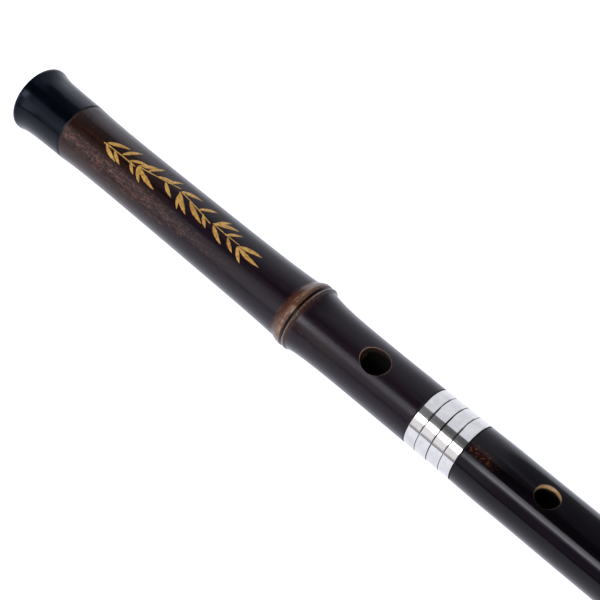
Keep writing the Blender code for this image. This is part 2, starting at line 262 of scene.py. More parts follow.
# Places about a bamboo node, in millimetres from its notch
NODE_HALO = (-7.2, -4.0, -2.6, -1.6)
NODE_RIDGE = (-3.7, -3.0, -0.8, -0.3)
NODE_CREST = (-3.2, -2.9, -2.7, -2.4)
# Painted shade on the far side of the ridge before the notch
NODE_PAINTED_SHADE = (-2.2, -1.4, -0.7, -0.3)
NODE_NOTCH = (-0.35, -0.05, 0.2, 0.45)
NODE_TAIL = (0.5, 0.9, 1.3, 4.2)
# A pale line on the ridge after the notch: a painted highlight
NODE_PAINTED_HIGHLIGHT = (0.5, 0.8, 1.1, 1.7)

# Places across the flute, in millimetres from its axis towards the far side
RUBBED_SIDE = (-12.2, -9.9, -8.0, -5.9)
BESIDE_JOINT_SIDE = (-6.2, -5.0, -3.0, -0.8)
# Across the flute, where the painted shade of a node's ridge sets in
NODE_PAINTED_SHADE_SIDE = (-6.6, -5.0)

# Distances from the flute's axis at which a colour changes, in millimetres
BORE_EDGE = (9.2, 10.6)
WALL_EDGE = (12.15, 12.4)
BLOWING_HOLE_EDGE = (12.34, 12.44)

# Depths at which the painted shade in the rings' grooves is full and gone, spacing of the caps' turning
# marks, and radius of a whole node, in millimetres; and millimetres in a metre
PAINTED_GROOVE_SHADE_DEPTHS = (0.16, 0.04)
LATHE_PITCH = 0.8
NODE_RADIUS = 14.8
MILLIMETRES = 1000.0

# Tints of the surfaces and lights
LACQUER_SHINE = (0.33, 0.33, 0.36, 1.0)
LACQUER_HAZE = (0.6, 0.6, 1.0, 1.0)
CAP_SHINE = (0.40, 0.47, 0.64, 1.0)
NEUTRAL = (0.99, 0.98, 1.0)
LAVENDER = (0.90, 0.92, 1.0)
DUSK = (1.0, 0.78, 1.06)

# Camera, floor and surroundings
CAMERA_PLACE = Vector((0.0407, -0.2450, 0.4979))
CAMERA_RIGHT = Vector((0.71578, 0.69770, 0.02985))
CAMERA_UP = Vector((-0.58625, 0.57712, 0.56856))
CAMERA_BACK = Vector((0.37945, -0.42446, 0.82211))
CAMERA_LENS = 90.0
CAMERA_SENSOR = 36.0
CAMERA_NEAREST = 0.01
FLOOR_REACH = 4.0
FLOOR_SQUARES = 8
FLOOR_CLEARANCE = 0.00001
FLOOR_GLOW = 1.08
WORLD_RADIANCE = 0.08

# Lights as (lean and spread in degrees, distance, X from, X to, radiance)
PLAYER_SIDE_LIGHTS = (
    (45.0, 17.0, 1.20, -1.90, -1.04, 1.2),
    (42.6, 20.8, 1.20, -1.04, -0.93, 1.7),
    (42.6, 20.8, 1.20, -0.93, -0.66, 0.8),
    (42.6, 20.8, 1.20, -0.66, -0.56, 5.2),
    (42.6, 20.8, 1.20, -0.56, -0.454, 7.0),
    (43.0, 21.6, 1.20, -0.454, -0.386, 2.2),
    (38.5, 8.0, 1.20, -0.386, 1.60, 6.5),
    (46.9, 8.8, 1.20, -0.386, -0.350, 14.0),
    (46.9, 8.8, 1.20, -0.350, 1.60, 10.8),
    (54.0, 5.4, 1.20, -0.386, 1.60, 1.6),
    (63.0, 19.4, 1.35, -1.90, -1.13, 1.35),
    (69.0, 31.4, 1.35, -1.13, -0.95, 2.4),
    (69.0, 31.4, 1.35, -0.95, -0.65, 2.6),
    (66.0, 25.4, 1.35, -0.65, -0.37, 1.15),
    (80.4, 3.4, 1.35, -0.56, -0.37, 0.8),
    (86.1, 8.0, 1.35, -0.56, -0.37, 0.42),
    (16.0, 30.0, 1.40, -0.56, -0.499, 0.24),
    (13.0, 20.0, 1.40, -0.499, -0.477, 0.15),
    (13.0, 20.0, 1.40, -0.477, -0.458, 0.04),
    (13.0, 20.0, 1.40, -0.458, -0.43, 0.10),
    (27.0, 8.0, 1.40, -0.499, -0.43, 0.22),
)
DUSKY_LIGHTS = (
    (69.0, 31.4, 1.35, -0.37, 1.60, 0.45),
)
FAR_SIDE_LIGHTS = (
    (-50.0, 20.0, 1.50, -2.40, -1.15, 1.8),
    (-76.0, 32.0, 1.50, -2.40, -1.15, 2.3),
    (-56.0, 72.0, 1.50, -1.15, -0.41, 1.15),
    (-10.0, 20.0, 1.50, -1.15, -0.56, 0.6),
    (-8.8, 22.4, 1.50, -0.56, -0.41, 1.15),
    (-46.0, 92.0, 1.50, -0.41, 2.20, 0.29),
)
LIGHT_GROUPS = (
    ("player_side_light", NEUTRAL, PLAYER_SIDE_LIGHTS),
    ("dusky_light", DUSK, DUSKY_LIGHTS),
    ("far_side_light", LAVENDER, FAR_SIDE_LIGHTS),
)


def curve_value(points, place):
    """Value at a place on the smooth curve through (place, value) points."""
    if place <= points[0][0]:
        return points[0][1]
    if place >= points[-1][0]:
        return points[-1][1]
    index = max(i for i, point in enumerate(points[:-1]) if point[0] <= place)
    before = points[max(index - 1, 0)]
    start = points[index]
    end = points[index + 1]
    after = points[min(index + 2, len(points) - 1)]
    span = end[0] - start[0]
    start_slope = span * (end[1] - before[1]) / (end[0] - before[0])
    end_slope = span * (after[1] - start[1]) / (after[0] - start[0])
    t = (place - start[0]) / span
    return ((2 * t**3 - 3 * t**2 + 1) * start[1] + (t**3 - 2 * t**2 + t) * start_slope
            + (3 * t**2 - 2 * t**3) * end[1] + (t**3 - t**2) * end_slope)


def node_rise(offset):
    """How far a bamboo node stands out, at an offset along the flute from its notch."""
    first = NODE_RIDGES[0][0]
    last = NODE_RIDGES[-1][0]
    if offset < first:
        return SWELLING_BEFORE * math.exp((offset - first) / SWELLING_BEFORE_LENGTH)
    if offset > last:
        return SWELLING_AFTER * math.exp((last - offset) / SWELLING_AFTER_LENGTH)
    part = (offset - first) / (last - first)
    swelling = SWELLING_BEFORE + (SWELLING_AFTER - SWELLING_BEFORE) * part
    return swelling + curve_value(NODE_RIDGES, offset)


class BambooSurface:
    """Outer surface of one bamboo section: a radius for each station and angle."""

    def __init__(self, radii, node_station, node_scale):
        self.radii = radii
        self.node_station = node_station
        self.node_scale = node_scale

    def rise(self, station):
        """How far this section's node stands out at a station."""
        return self.node_scale * node_rise(station - self.node_station)

    def round_radius(self, station):
        """Radius of the plain turned surface."""
        return curve_value(self.radii, station) + self.rise(station)

    def unevenness(self, station, angle):
        """Slight ovality and long waves, as on any grown stem; none at a section's ends."""
        start = self.radii[0][0]
        end = self.radii[-1][0]
        fade = min(1.0, (station - start) / EVEN_END, (end - station) / EVEN_END)
        if fade <= 0.0:
            return 0.0
        wave_place = Vector((WAVES_ALONG * station, WAVES_AROUND * math.cos(angle),
                             WAVES_AROUND * math.sin(angle)))
        oval = OVALITY * math.cos(2 * angle + OVAL_TWIST * station)
        return fade * (oval + WAVINESS * noise.noise(wave_place))

    def radius(self, station, angle):
        """Radius with the node a little askew and off centre, and the surface a little uneven."""
        distance = abs(station - self.node_station)
        fade = max(0.0, min(1.0, (NODE_TILT_REACH - distance) / NODE_TILT_FADE))
        along = station - NODE_TILT * fade * math.cos(angle - NODE_TILT_TURN)
        lean = NODE_LEAN * math.cos(angle - NODE_LEAN_TURN) * self.rise(along)
        return self.round_radius(along) + lean + self.unevenness(station, angle)

    def point(self, station, angle, lift=0.0):
        """A point on the surface, or lift above it; the angle runs about +X from +Z."""
        radius = self.radius(station, angle) + lift
        return Vector((station - OVERALL_LENGTH / 2, -radius * math.sin(angle),
                       AXIS_HEIGHT + radius * math.cos(angle)))

    def normal(self, station, angle):
        """Outward direction, square to short steps along and around the surface."""
        step = 0.0001
        turn = 0.004
        along = self.point(station + step, angle) - self.point(station - step, angle)
        around = self.point(station, angle + turn) - self.point(station, angle - turn)
        return around.cross(along).normalized()


def link_mesh(name, builder):
    """Make an object of the builder's mesh and add it to the scene."""
    mesh = bpy.data.meshes.new(name)
    builder.to_mesh(mesh)
    builder.free()
    obj = bpy.data.objects.new(name, mesh)
    bpy.context.scene.collection.objects.link(obj)
    return obj


def turned_mesh(name, outline):
    """Turn an outline of (station, radius) points about the flute's axis."""
    builder = bmesh.new()
    points = [builder.verts.new((s - OVERALL_LENGTH / 2, 0.0, AXIS_HEIGHT + r)) for s, r in outline]
    edges = [builder.edges.new(pair) for pair in zip(points, points[1:])]
    if outline[0][1] > 0.0:
        edges.append(builder.edges.new((points[-1], points[0])))
    bmesh.ops.spin(builder, geom=points + edges, cent=(0.0, 0.0, AXIS_HEIGHT), axis=(1.0, 0.0, 0.0),
                   angle=2 * math.pi, steps=SIDES, use_merge=True)
    bmesh.ops.remove_doubles(builder, verts=builder.verts, dist=POINT_TOLERANCE)
    bmesh.ops.recalc_face_normals(builder, faces=builder.faces)
    return link_mesh(name, builder)


def add_turned(name, outline, material, node, body):
    """A turned piece that stands for a node of the model and rides on its body."""
    obj = turned_mesh(name, outline)
    obj.data.shade_smooth()
    obj.data.set_sharp_from_angle(angle=SHARP_ANGLE)
    obj.data.materials.append(material)
    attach(obj, body)
    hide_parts(node)


def add_hole_cutter(builder, hole, surface):
    """Add one hole's cutter: undercut inside, with its edge rounded along the curved wall."""
    station, angle, length, width = hole
    turn = Matrix.Translation((0.0, 0.0, AXIS_HEIGHT)) @ Matrix.Rotation(angle, 4, "X")
    wall_radius = surface.radius(station, angle)
    edge_turns = [EDGE_TURN * i / EDGE_STEPS for i in range(EDGE_STEPS + 1)]
    levels = [("foot", 0.0, 0.0)]
    levels += [("edge", HOLE_EDGE * (1 - math.cos(t)), HOLE_EDGE * (math.sin(t) - 1)) for t in edge_turns]
    levels.append(("edge", EDGE_OPENING * HOLE_EDGE, EDGE_OPENING_RISE * HOLE_EDGE))
    levels.append(("top", EDGE_OPENING * HOLE_EDGE, 0.0))
    rings = []
    for kind, out, up in levels:
        widening = HOLE_UNDERCUT if kind == "foot" else 1.0
        ring = []
        for i in range(HOLE_SIDES):
            a = 2 * math.pi * (i + 0.5) / HOLE_SIDES
            wall_height = math.sqrt(wall_radius**2 - (width / 2 * math.sin(a)) ** 2) + up
            height = {"foot": CUTTER_FOOT, "edge": wall_height, "top": CUTTER_TOP}[kind]
            x = station - OVERALL_LENGTH / 2 + (widening * length / 2 + out) * math.cos(a)
            y = (widening * width / 2 + out) * math.sin(a)
            ring.append(builder.verts.new(turn @ Vector((x, y, height))))
        rings.append(ring)
    for lower, upper in zip(rings, rings[1:]):
        for i in range(HOLE_SIDES):
            j = (i + 1) % HOLE_SIDES
            builder.faces.new((lower[i], lower[j], upper[j], upper[i]))
    builder.faces.new(list(reversed(rings[0])))
    builder.faces.new(rings[-1])


def cut_holes(tube, holes, surface):
    """Cut a tube's holes and keep the result as its plain mesh."""
    builder = bmesh.new()
    for hole in holes:
        add_hole_cutter(builder, hole, surface)
    bmesh.ops.recalc_face_normals(builder, faces=builder.faces)
    cutter = link_mesh("hole_cutter", builder)
    cut = tube.modifiers.new("holes", "BOOLEAN")
    cut.operation = "DIFFERENCE"
    cut.solver = "EXACT"
    cut.object = cutter
    bpy.context.view_layer.update()
    whole = tube.evaluated_get(bpy.context.evaluated_depsgraph_get())
    mesh = bpy.data.meshes.new_from_object(whole)
    tube.modifiers.clear()
    tube.data = mesh
    bpy.data.objects.remove(cutter, do_unlink=True)


def place_of(point):
    """Station, angle about +X from +Z, and radius of a point."""
    height = point.z - AXIS_HEIGHT
    return point.x + OVERALL_LENGTH / 2, math.atan2(-point.y, height), math.hypot(point.y, height)


def dress_bamboo(tube, surface, lacquer, raw):
    """Roughen the outer surface, give it its true normals, and leave the hole walls raw."""
    mesh = tube.data
    start = surface.radii[0][0]
    end = surface.radii[-1][0]
    places = [place_of(vertex.co) for vertex in mesh.vertices]
    outside = []
    for station, _, radius in places:
        near = start - POINT_TOLERANCE <= station <= end + POINT_TOLERANCE
        outside.append(near and abs(radius - surface.round_radius(station)) < SURFACE_TOLERANCE)
    for vertex, (station, angle, radius) in zip(mesh.vertices, places):
        if radius > SPIGOT_RADIUS and start <= station <= end:
            shift = surface.radius(station, angle) - surface.round_radius(station)
            vertex.co.y -= shift * math.sin(angle)
            vertex.co.z += shift * math.cos(angle)
    mesh.materials.clear()
    mesh.materials.append(lacquer)
    mesh.materials.append(raw)
    mesh.shade_smooth()
    mesh.set_sharp_from_angle(angle=SHARP_ANGLE)
    normals = [(0.0, 0.0, 0.0)] * len(mesh.loops)
    for polygon in mesh.polygons:
        on_surface = all(outside[v] for v in polygon.vertices)
        polygon.material_index = 0 if on_surface else 1
        if not on_surface:
            continue
        for loop in polygon.loop_indices:
            station, angle, _ = places[mesh.loops[loop].vertex_index]
            normals[loop] = surface.normal(station, angle)
    mesh.normals_split_custom_set(normals)


def surface_outline(surface, step):
    """(station, radius) points along a section, close together at its node.

    The first and last points are the outer rims of its two end faces, and the
    edges between them and the surface are chamfered.
    """
    start = surface.radii[0][0]
    end = surface.radii[-1][0]
    near = surface.node_station - NODE_REACH
    far = surface.node_station + NODE_REACH
    stations = []
    for first, last, size in ((start + BAMBOO_EDGE, near, step), (near, far, NODE_STEP),
                              (far, end - BAMBOO_EDGE, step)):
        count = round((last - first) / size)
        stations += [first + (last - first) * i / count for i in range(count)]
    stations.append(end - BAMBOO_EDGE)
    outline = [(s, surface.round_radius(s)) for s in stations]
    first_edge = (start, outline[0][1] - BAMBOO_EDGE)
    last_edge = (end, outline[-1][1] - BAMBOO_EDGE)
    return [first_edge] + outline + [last_edge]


def build_head_bamboo(lacquer, raw):
    """The head section's bamboo, with its blowing hole; returns its outer surface."""
    surface = BambooSurface(HEAD_RADII, HEAD_NODE_STATION, 1.0)
    outline = surface_outline(surface, HEAD_STEP)
    spigot_end = CAP_END_WALL + GAP
    socket_radius = SOCKET_RADIUS + SOCKET_WALL + GAP
    socket_floor = JOINT_STATION - SOCKET_DEPTH - GAP
    tongue_end = JOINT_STATION - COLLAR_FLANGE - GAP
    before = [(spigot_end, BORE_RADIUS), (spigot_end, SPIGOT_RADIUS), (outline[0][0], SPIGOT_RADIUS)]
    after = [
        (outline[-1][0], TONGUE_RADIUS),
        (tongue_end, TONGUE_RADIUS),
        (tongue_end, socket_radius),
        (socket_floor, socket_radius),
        (socket_floor, BORE_RADIUS),
    ]
    tube = turned_mesh("head_bamboo", before + outline + after)
    cut_holes(tube, [BLOWING_HOLE], surface)
    dress_bamboo(tube, surface, lacquer, raw)
    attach(tube, "head_section")
    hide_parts("head_tube")
    return surface


def build_body_bamboo(lacquer, raw):
    """The body section's bamboo, with its membrane hole, finger holes and end holes."""
    surface = BambooSurface(BODY_RADII, BODY_NODE_STATION, BODY_NODE_SCALE)
    outline = surface_outline(surface, BODY_STEP)
    tongue_end = JOINT_STATION + COLLAR_FLANGE + 2 * GAP
    root_radius = TENON_RADIUS + GAP
    root_floor = JOINT_STATION + TENON_ROOT + GAP
    spigot_end = OVERALL_LENGTH - CAP_END_WALL - GAP
    before = [(tongue_end, root_radius), (tongue_end, TONGUE_RADIUS), (outline[0][0], TONGUE_RADIUS)]
    after = [
        (outline[-1][0], SPIGOT_RADIUS),
        (spigot_end, SPIGOT_RADIUS),
        (spigot_end, BORE_RADIUS),
        (root_floor, BORE_RADIUS),
        (root_floor, root_radius),
    ]
    tube = turned_mesh("body_bamboo", before + outline + after)
    holes = [MEMBRANE_HOLE]
    for station, length in zip(FINGER_HOLE_STATIONS, FINGER_HOLE_LENGTHS):
        holes.append((station, 0.0, length, FINGER_HOLE_ROUNDNESS * length))
    for side in (-1, 1):
        holes.append((BASE_TONE_STATION, math.pi + side * BASE_TONE_SPREAD,
                      END_HOLE_LENGTH, END_HOLE_WIDTH))
        holes.append((TASSEL_HOLE_STATION, side * TASSEL_HOLE_SPREAD,
                      END_HOLE_LENGTH, END_HOLE_WIDTH))
    cut_holes(tube, holes, surface)
    dress_bamboo(tube, surface, lacquer, raw)
    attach(tube, "body_section")
    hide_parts("body_tube")


def rounded_start(place, radius, edge):
    """(place, radius) points of a rounded edge that leads up from a first end face."""
    turns = [math.pi / 2 * i / EDGE_STEPS for i in range(EDGE_STEPS + 1)]
    return [(place + edge * (1 - math.cos(t)), radius - edge * (1 - math.sin(t))) for t in turns]


def rounded_end(place, radius, edge):
    """(place, radius) points of a rounded edge that leads down to a last end face."""
    turns = [math.pi / 2 * i / EDGE_STEPS for i in range(EDGE_STEPS + 1)]
    return [(place - edge * (1 - math.sin(t)), radius - edge * (1 - math.cos(t))) for t in turns]


def rounded_tube(start, end, inner_radius, outer_radius, edge):
    """Outline of a plain tube with rounded ends, or of a plug where the inner radius is 0."""
    return ([(start, inner_radius)] + rounded_start(start, outer_radius, edge)
            + rounded_end(end, outer_radius, edge) + [(end, inner_radius)])


def build_cap(name, node, body, end_station, inward, neck_radius, material):
    """A flared cap. inward is the direction along the flute from its end face to its neck."""
    flare = CAP_RIM_RADIUS - neck_radius - CAP_NECK_TAPER
    sleeve_radius = SPIGOT_RADIUS + GAP
    outline = [(CAP_MOUTH_CHAMFER, BORE_RADIUS), (0.0, BORE_RADIUS + CAP_MOUTH_CHAMFER)]
    outline += rounded_start(0.0, CAP_RIM_RADIUS, CAP_LIP)
    for i in range(CAP_STEPS + 1):
        share = i / CAP_STEPS
        from_land = (CAP_LENGTH - CAP_NECK_EDGE - CAP_LIP - CAP_LAND) * share
        radius = neck_radius + CAP_NECK_TAPER * (1.0 - share)
        radius += flare * math.exp(-from_land / CAP_FLARE_LENGTH)
        outline.append((CAP_LIP + CAP_LAND + from_land, radius))
    outline += [
        (CAP_LENGTH - CAP_NECK_EDGE_SHARE * CAP_NECK_EDGE,
         neck_radius - CAP_NECK_DROP_SHARE * CAP_NECK_DROP),
        (CAP_LENGTH, neck_radius - CAP_NECK_DROP),
        (CAP_LENGTH, sleeve_radius),
        (CAP_END_WALL, sleeve_radius),
        (CAP_END_WALL, BORE_RADIUS),
    ]
    outline = [(end_station + inward * depth, radius) for depth, radius in outline]
    add_turned(name, outline, material, node, body)


def build_collar(name, node, body, joint_face, inward, hole_radius, material):
    """A grooved ring with a flange over the bamboo's end. inward leads away from the joint.

    The groove's two sides are quarter circles, stretched to its width and depth,
    that meet in a sharp line at its bottom.
    """
    outline = [(0.0, hole_radius)] + rounded_start(0.0, COLLAR_RADIUS, COLLAR_EDGE)
    outline.append((COLLAR_EDGE + LAND_INSET, COLLAR_RADIUS))
    outline.append((GROOVE_SETBACK - GROOVE_HALF_WIDTH - LAND_INSET, COLLAR_RADIUS))
    for i in range(-GROOVE_STEPS, GROOVE_STEPS + 1):
        share = i / GROOVE_STEPS
        part = share * abs(share)
        depth = GROOVE_DEPTH * (1.0 - math.sqrt(1.0 - (1.0 - abs(part)) ** 2))
        outline.append((GROOVE_SETBACK + part * GROOVE_HALF_WIDTH, COLLAR_RADIUS - depth))
    outline.append((GROOVE_SETBACK + GROOVE_HALF_WIDTH + LAND_INSET, COLLAR_RADIUS))
    outline.append((COLLAR_LENGTH - COLLAR_EDGE - LAND_INSET, COLLAR_RADIUS))
    outline += rounded_end(COLLAR_LENGTH, COLLAR_RADIUS, COLLAR_EDGE)
    outline += [
        (COLLAR_LENGTH, COLLAR_INNER_RADIUS),
        (COLLAR_FLANGE, COLLAR_INNER_RADIUS),
        (COLLAR_FLANGE, hole_radius),
    ]
    outline = [(joint_face + inward * depth, radius) for depth, radius in outline]
    add_turned(name, outline, material, node, body)


def build_sleeve(name, node, body, start, end, inner_radius, outer_radius, material):
    """A thin metal tube with rounded ends."""
    outline = rounded_tube(start, end, inner_radius, outer_radius, SLEEVE_EDGE)
    add_turned(name, outline, material, node, body)


def build_stopper(material):
    """The cork plug beyond the blowing hole."""
    back = STOPPER_FACE_STATION - STOPPER_LENGTH
    outline = rounded_tube(back, STOPPER_FACE_STATION, 0.0, STOPPER_RADIUS, STOPPER_CHAMFER)
    add_turned("stopper", outline, material, "stopper_cork", "head_section")


def stem_half_width(share, width):
    """Half the width along a stem stroke, pressed at both ends."""
    pressed = STEM_MIDDLE + STEM_PRESS * abs(2 * share - 1) ** STEM_PRESS_POWER
    tips = min(1.0, STEM_TIP_RISE * share, STEM_TIP_RISE * (1 - share))
    return width / 2 * pressed * math.sqrt(tips)


def leaf_half_width(share, width):
    """Half the width along a leaf: a short stalk, a full belly and a long drawn tip."""
    belly = LEAF_BELLY * share * (1 - share) ** LEAF_TAPER / LEAF_BELLY_PEAK
    return width / 2 * belly**LEAF_FULLNESS + LEAF_STALK


def add_stroke(builder, surface, stroke, bend, half_width):
    """One raised brush stroke that follows the bamboo, as a thin closed body."""
    station, across, direction, length, width = stroke
    rows = []
    heading = math.radians(direction)
    step = length / STROKE_POINTS
    x = station
    y = across
    for i in range(STROKE_POINTS + 1):
        share = i / STROKE_POINTS
        angle = heading + bend * share
        wobble = noise.noise(Vector((WOBBLES_PER_METRE * x, WOBBLES_PER_METRE * y, WOBBLE_LAYER)))
        half = half_width(share, width) * (1.0 + STROKE_WOBBLE * wobble)
        top = []
        bottom = []
        for k in range(STROKE_ACROSS + 1):
            part = 2.0 * k / STROKE_ACROSS - 1.0
            s = x - math.sin(angle) * half * part
            a = SPRAY_TURN + (y + math.cos(angle) * half * part) / surface.round_radius(s)
            lift = STROKE_LIFT * (1.0 - STROKE_CROWN * part * part)
            top.append(builder.verts.new(surface.point(s, a, lift)))
            bottom.append(builder.verts.new(surface.point(s, a, -STROKE_SINK)))
        rows.append(top + bottom[::-1])
        x += math.cos(angle) * step
        y += math.sin(angle) * step
    for row, after in zip(rows, rows[1:]):
        count = len(row)
        for k in range(count):
            n = (k + 1) % count
            builder.faces.new((row[k], row[n], after[n], after[k]))
    builder.faces.new(rows[0][::-1])
    builder.faces.new(rows[-1])


def build_spray(surface, material):
    """The gilt spray: stems that bend one way and the other by turns, and leaves that
    bend back towards the flute's length."""
    builder = bmesh.new()
    for index, stem in enumerate(SPRAY_STEMS):
        add_stroke(builder, surface, stem, STEM_BEND * (-1) ** index, stem_half_width)
    for leaf in SPRAY_LEAVES:
        bend = LEAF_BEND if leaf[2] < 0 else -LEAF_BEND
        add_stroke(builder, surface, leaf, bend, leaf_half_width)
    bmesh.ops.recalc_face_normals(builder, faces=builder.faces)
    spray = link_mesh("gilt_leaf_spray", builder)
    spray.data.shade_smooth()
    spray.data.set_sharp_from_angle(angle=STROKE_SHARP_ANGLE)
    spray.data.materials.append(material)
    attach(spray, "head_section")


class Shader:
    """A material's node tree with short calls for its nodes."""

    def __init__(self, name):
        self.material = bpy.data.materials.new(name)
        self.material.use_nodes = True
        self.tree = self.material.node_tree
        self.principled = self.tree.nodes["Principled BSDF"]

    def feed(self, socket, source):
        """Link a socket to its source, or set it to a plain value."""
        if isinstance(source, bpy.types.NodeSocket):
            self.tree.links.new(source, socket)
        else:
            socket.default_value = source

    def set(self, **values):
        """Feed the surface's inputs, named with underscores for spaces."""
        for name, source in values.items():
            self.feed(self.principled.inputs[name.replace("_", " ")], source)

    def place(self):
        """Place in the piece's own space, in metres."""
        return self.tree.nodes.new("ShaderNodeTexCoord").outputs["Object"]

    def scaled(self, vector, scale):
        """A vector with each part scaled on its own."""
        made = self.tree.nodes.new("ShaderNodeVectorMath")
        made.operation = "MULTIPLY"
        self.feed(made.inputs[0], vector)
        self.feed(made.inputs[1], scale)
        return made.outputs[0]

    def noise(self, vector, scale=1.0, detail=3.0, roughness=0.55):
        made = self.tree.nodes.new("ShaderNodeTexNoise")
        self.feed(made.inputs["Vector"], vector)
        self.feed(made.inputs["Scale"], scale)
        self.feed(made.inputs["Detail"], detail)
        self.feed(made.inputs["Roughness"], roughness)
        return made.outputs["Fac"]

    def math(self, operation, first, second=0.0, third=0.0):
        made = self.tree.nodes.new("ShaderNodeMath")
        made.operation = operation
        for socket, source in zip(made.inputs, (first, second, third)):
            self.feed(socket, source)
        return made.outputs[0]

    def times(self, first, second):
        return self.math("MULTIPLY", first, second)

    def weighted(self, share, first, second):
        """A share of the first value and the rest of the second."""
        return self.math("MULTIPLY_ADD", first, share, self.times(second, 1.0 - share))

    def parts(self, vector):
        """Station along the flute, places across and above its axis, and radius, in millimetres."""
        made = self.tree.nodes.new("ShaderNodeSeparateXYZ")
        self.feed(made.inputs[0], vector)
        half_length = MILLIMETRES * OVERALL_LENGTH / 2
        station = self.math("MULTIPLY_ADD", made.outputs["X"], MILLIMETRES, half_length)
        across = self.times(made.outputs["Y"], MILLIMETRES)
        height = self.math("MULTIPLY_ADD", made.outputs["Z"], MILLIMETRES, -MILLIMETRES * AXIS_HEIGHT)
        square = self.math("MULTIPLY_ADD", height, height, self.times(across, across))
        return station, across, height, self.math("SQRT", square)

    def fit(self, value, low, high, new_low=0.0, new_high=1.0):
        """A smooth change from new_low to new_high as the value goes from low to high."""
        made = self.tree.nodes.new("ShaderNodeMapRange")
        made.interpolation_type = "SMOOTHSTEP"
        for socket, source in zip(made.inputs, (value, low, high, new_low, new_high)):
            self.feed(socket, source)
        return made.outputs[0]

    def band(self, value, start, full, fade, end):
        """1 between full and fade, falling to 0 at start and at end."""
        return self.times(self.fit(value, start, full), self.fit(value, fade, end, 1.0, 0.0))

    def either_band(self, value, first, second):
        """1 in either of two bands."""
        return self.math("MAXIMUM", self.band(value, *first), self.band(value, *second))

    def mix(self, factor, first, second):
        """The first colour where the factor is 0 and the second where it is 1."""
        made = self.tree.nodes.new("ShaderNodeMix")
        made.data_type = "RGBA"
        self.feed(made.inputs["Factor"], factor)
        self.feed(made.inputs["A"], first)
        self.feed(made.inputs["B"], second)
        return made.outputs["Result"]

    def bump(self, height, distance, strength):
        made = self.tree.nodes.new("ShaderNodeBump")
        self.feed(made.inputs["Height"], height)
        self.feed(made.inputs["Distance"], distance)
        self.feed(made.inputs["Strength"], strength)
        return made.outputs["Normal"]


def colour(red, green, blue):
    """A shader colour from 8-bit screen values."""
    def linear(value):
        share = value / 255.0
        return share / 12.92 if share <= 0.04045 else ((share + 0.055) / 1.055) ** 2.4
    return (linear(red), linear(green), linear(blue), 1.0)


def stain_colour(shader, station, grain):
    """The stain over the fibres: brown near the head cap, then violet, and darkest past the joint."""
    past_cap = shader.fit(station, *STAIN_CHANGE)
    past_joint = shader.fit(station, *JOINT_CHANGE)
    dark = shader.mix(past_cap, colour(20, 8, 5), colour(11, 4, 10))
    dark = shader.mix(past_joint, dark, colour(3, 1, 3))
    pale = shader.mix(past_cap, colour(40, 20, 15), colour(23, 11, 20))
    pale = shader.mix(past_joint, pale, colour(8, 4, 8))
    return shader.mix(shader.fit(grain, 0.40, 0.62), dark, pale)


def add_rubbed_colours(shader, base, worn, ragged, flecks, dots):
    """Brown patches, dark and pale freckles and redder spots where the stain is rubbed."""
    rubbed = shader.times(shader.fit(ragged, 0.42, 0.59), worn)
    base = shader.mix(rubbed, base, colour(64, 40, 34))
    freckles = shader.weighted(0.6, dots, flecks)
    dark_freckles = shader.times(shader.fit(freckles, 0.41, 0.50, 0.8, 0.0), worn)
    base = shader.mix(dark_freckles, base, colour(18, 9, 8))
    pale_freckles = shader.times(shader.fit(freckles, 0.53, 0.61, 0.0, 0.6), worn)
    base = shader.mix(pale_freckles, base, colour(100, 70, 57))
    spots = shader.times(shader.fit(ragged, 0.57, 0.66, 0.0, 0.8), worn)
    return shader.mix(spots, base, colour(108, 50, 32))


def add_joint_colours(shader, base, station, across, dots):
    """A browner patch with pale specks on the body section, beside the joint."""
    patch = shader.times(shader.band(station, *BESIDE_JOINT), shader.band(across, *BESIDE_JOINT_SIDE))
    base = shader.mix(shader.times(patch, 0.8), base, colour(30, 11, 7))
    specks = shader.times(shader.fit(dots, 0.56, 0.70), patch)
    return shader.mix(specks, base, colour(92, 58, 42))


def askew_station(shader, station, across, height):
    """Station measured as the nodes stand, a little askew: the same all round a node."""
    tilt = MILLIMETRES * NODE_TILT / NODE_RADIUS
    leaned = shader.math("MULTIPLY_ADD", across, tilt * math.sin(NODE_TILT_TURN), station)
    return shader.math("MULTIPLY_ADD", height, -tilt * math.cos(NODE_TILT_TURN), leaned)


